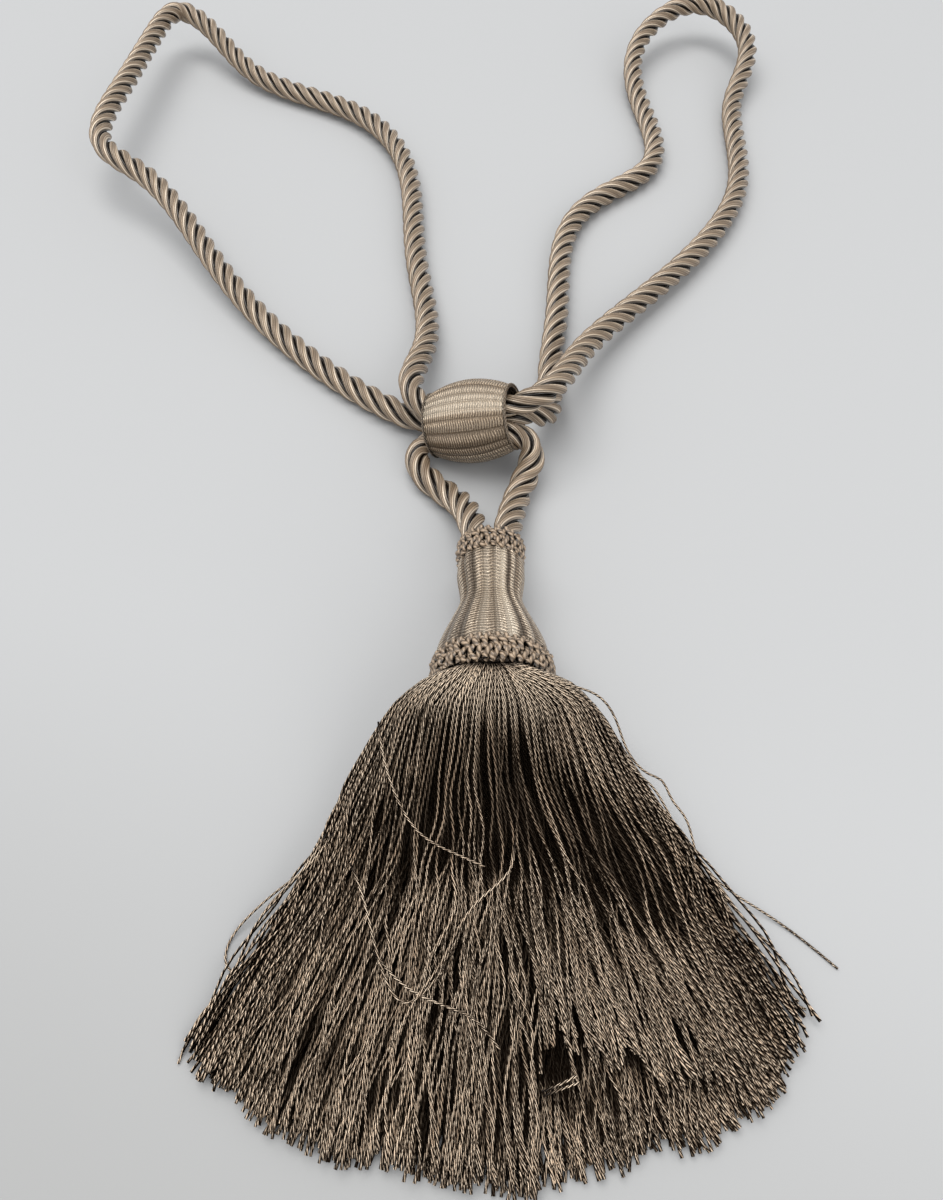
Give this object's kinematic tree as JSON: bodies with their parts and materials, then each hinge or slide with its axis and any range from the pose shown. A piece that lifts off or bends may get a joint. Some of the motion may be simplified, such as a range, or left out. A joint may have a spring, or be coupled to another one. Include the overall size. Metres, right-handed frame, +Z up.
{
  "type": "curtain tieback tassel",
  "caption": "Curtain tieback: a laid satin rope in long loops, gathered by a sliding covered bead, with a full yarn tassel hanging from a ribbed waisted head.",
  "frame": {"origin": "middle of the small flat spot under the bead, on the surface that the tieback lies on", "axes": "+Z up from that surface, +Y from the tassel past the bead towards the rope loops, +X to the right"},
  "size_m": [0.3399, 0.5794, 0.0385],
  "materials": {
    "satin_rope": "satin laid cord",
    "woven_cover": "satin ribbed weave",
    "knotted_yarn": "soft knotted yarn",
    "skirt_yarn": "soft twisted yarn"
  },
  "bodies": {
    "root": {"rope": "satin_rope", "bead": "woven_cover", "head": "woven_cover", "top_band": "knotted_yarn", "base_band": "knotted_yarn", "skirt": "skirt_yarn"}
  },
  "joints": []
}
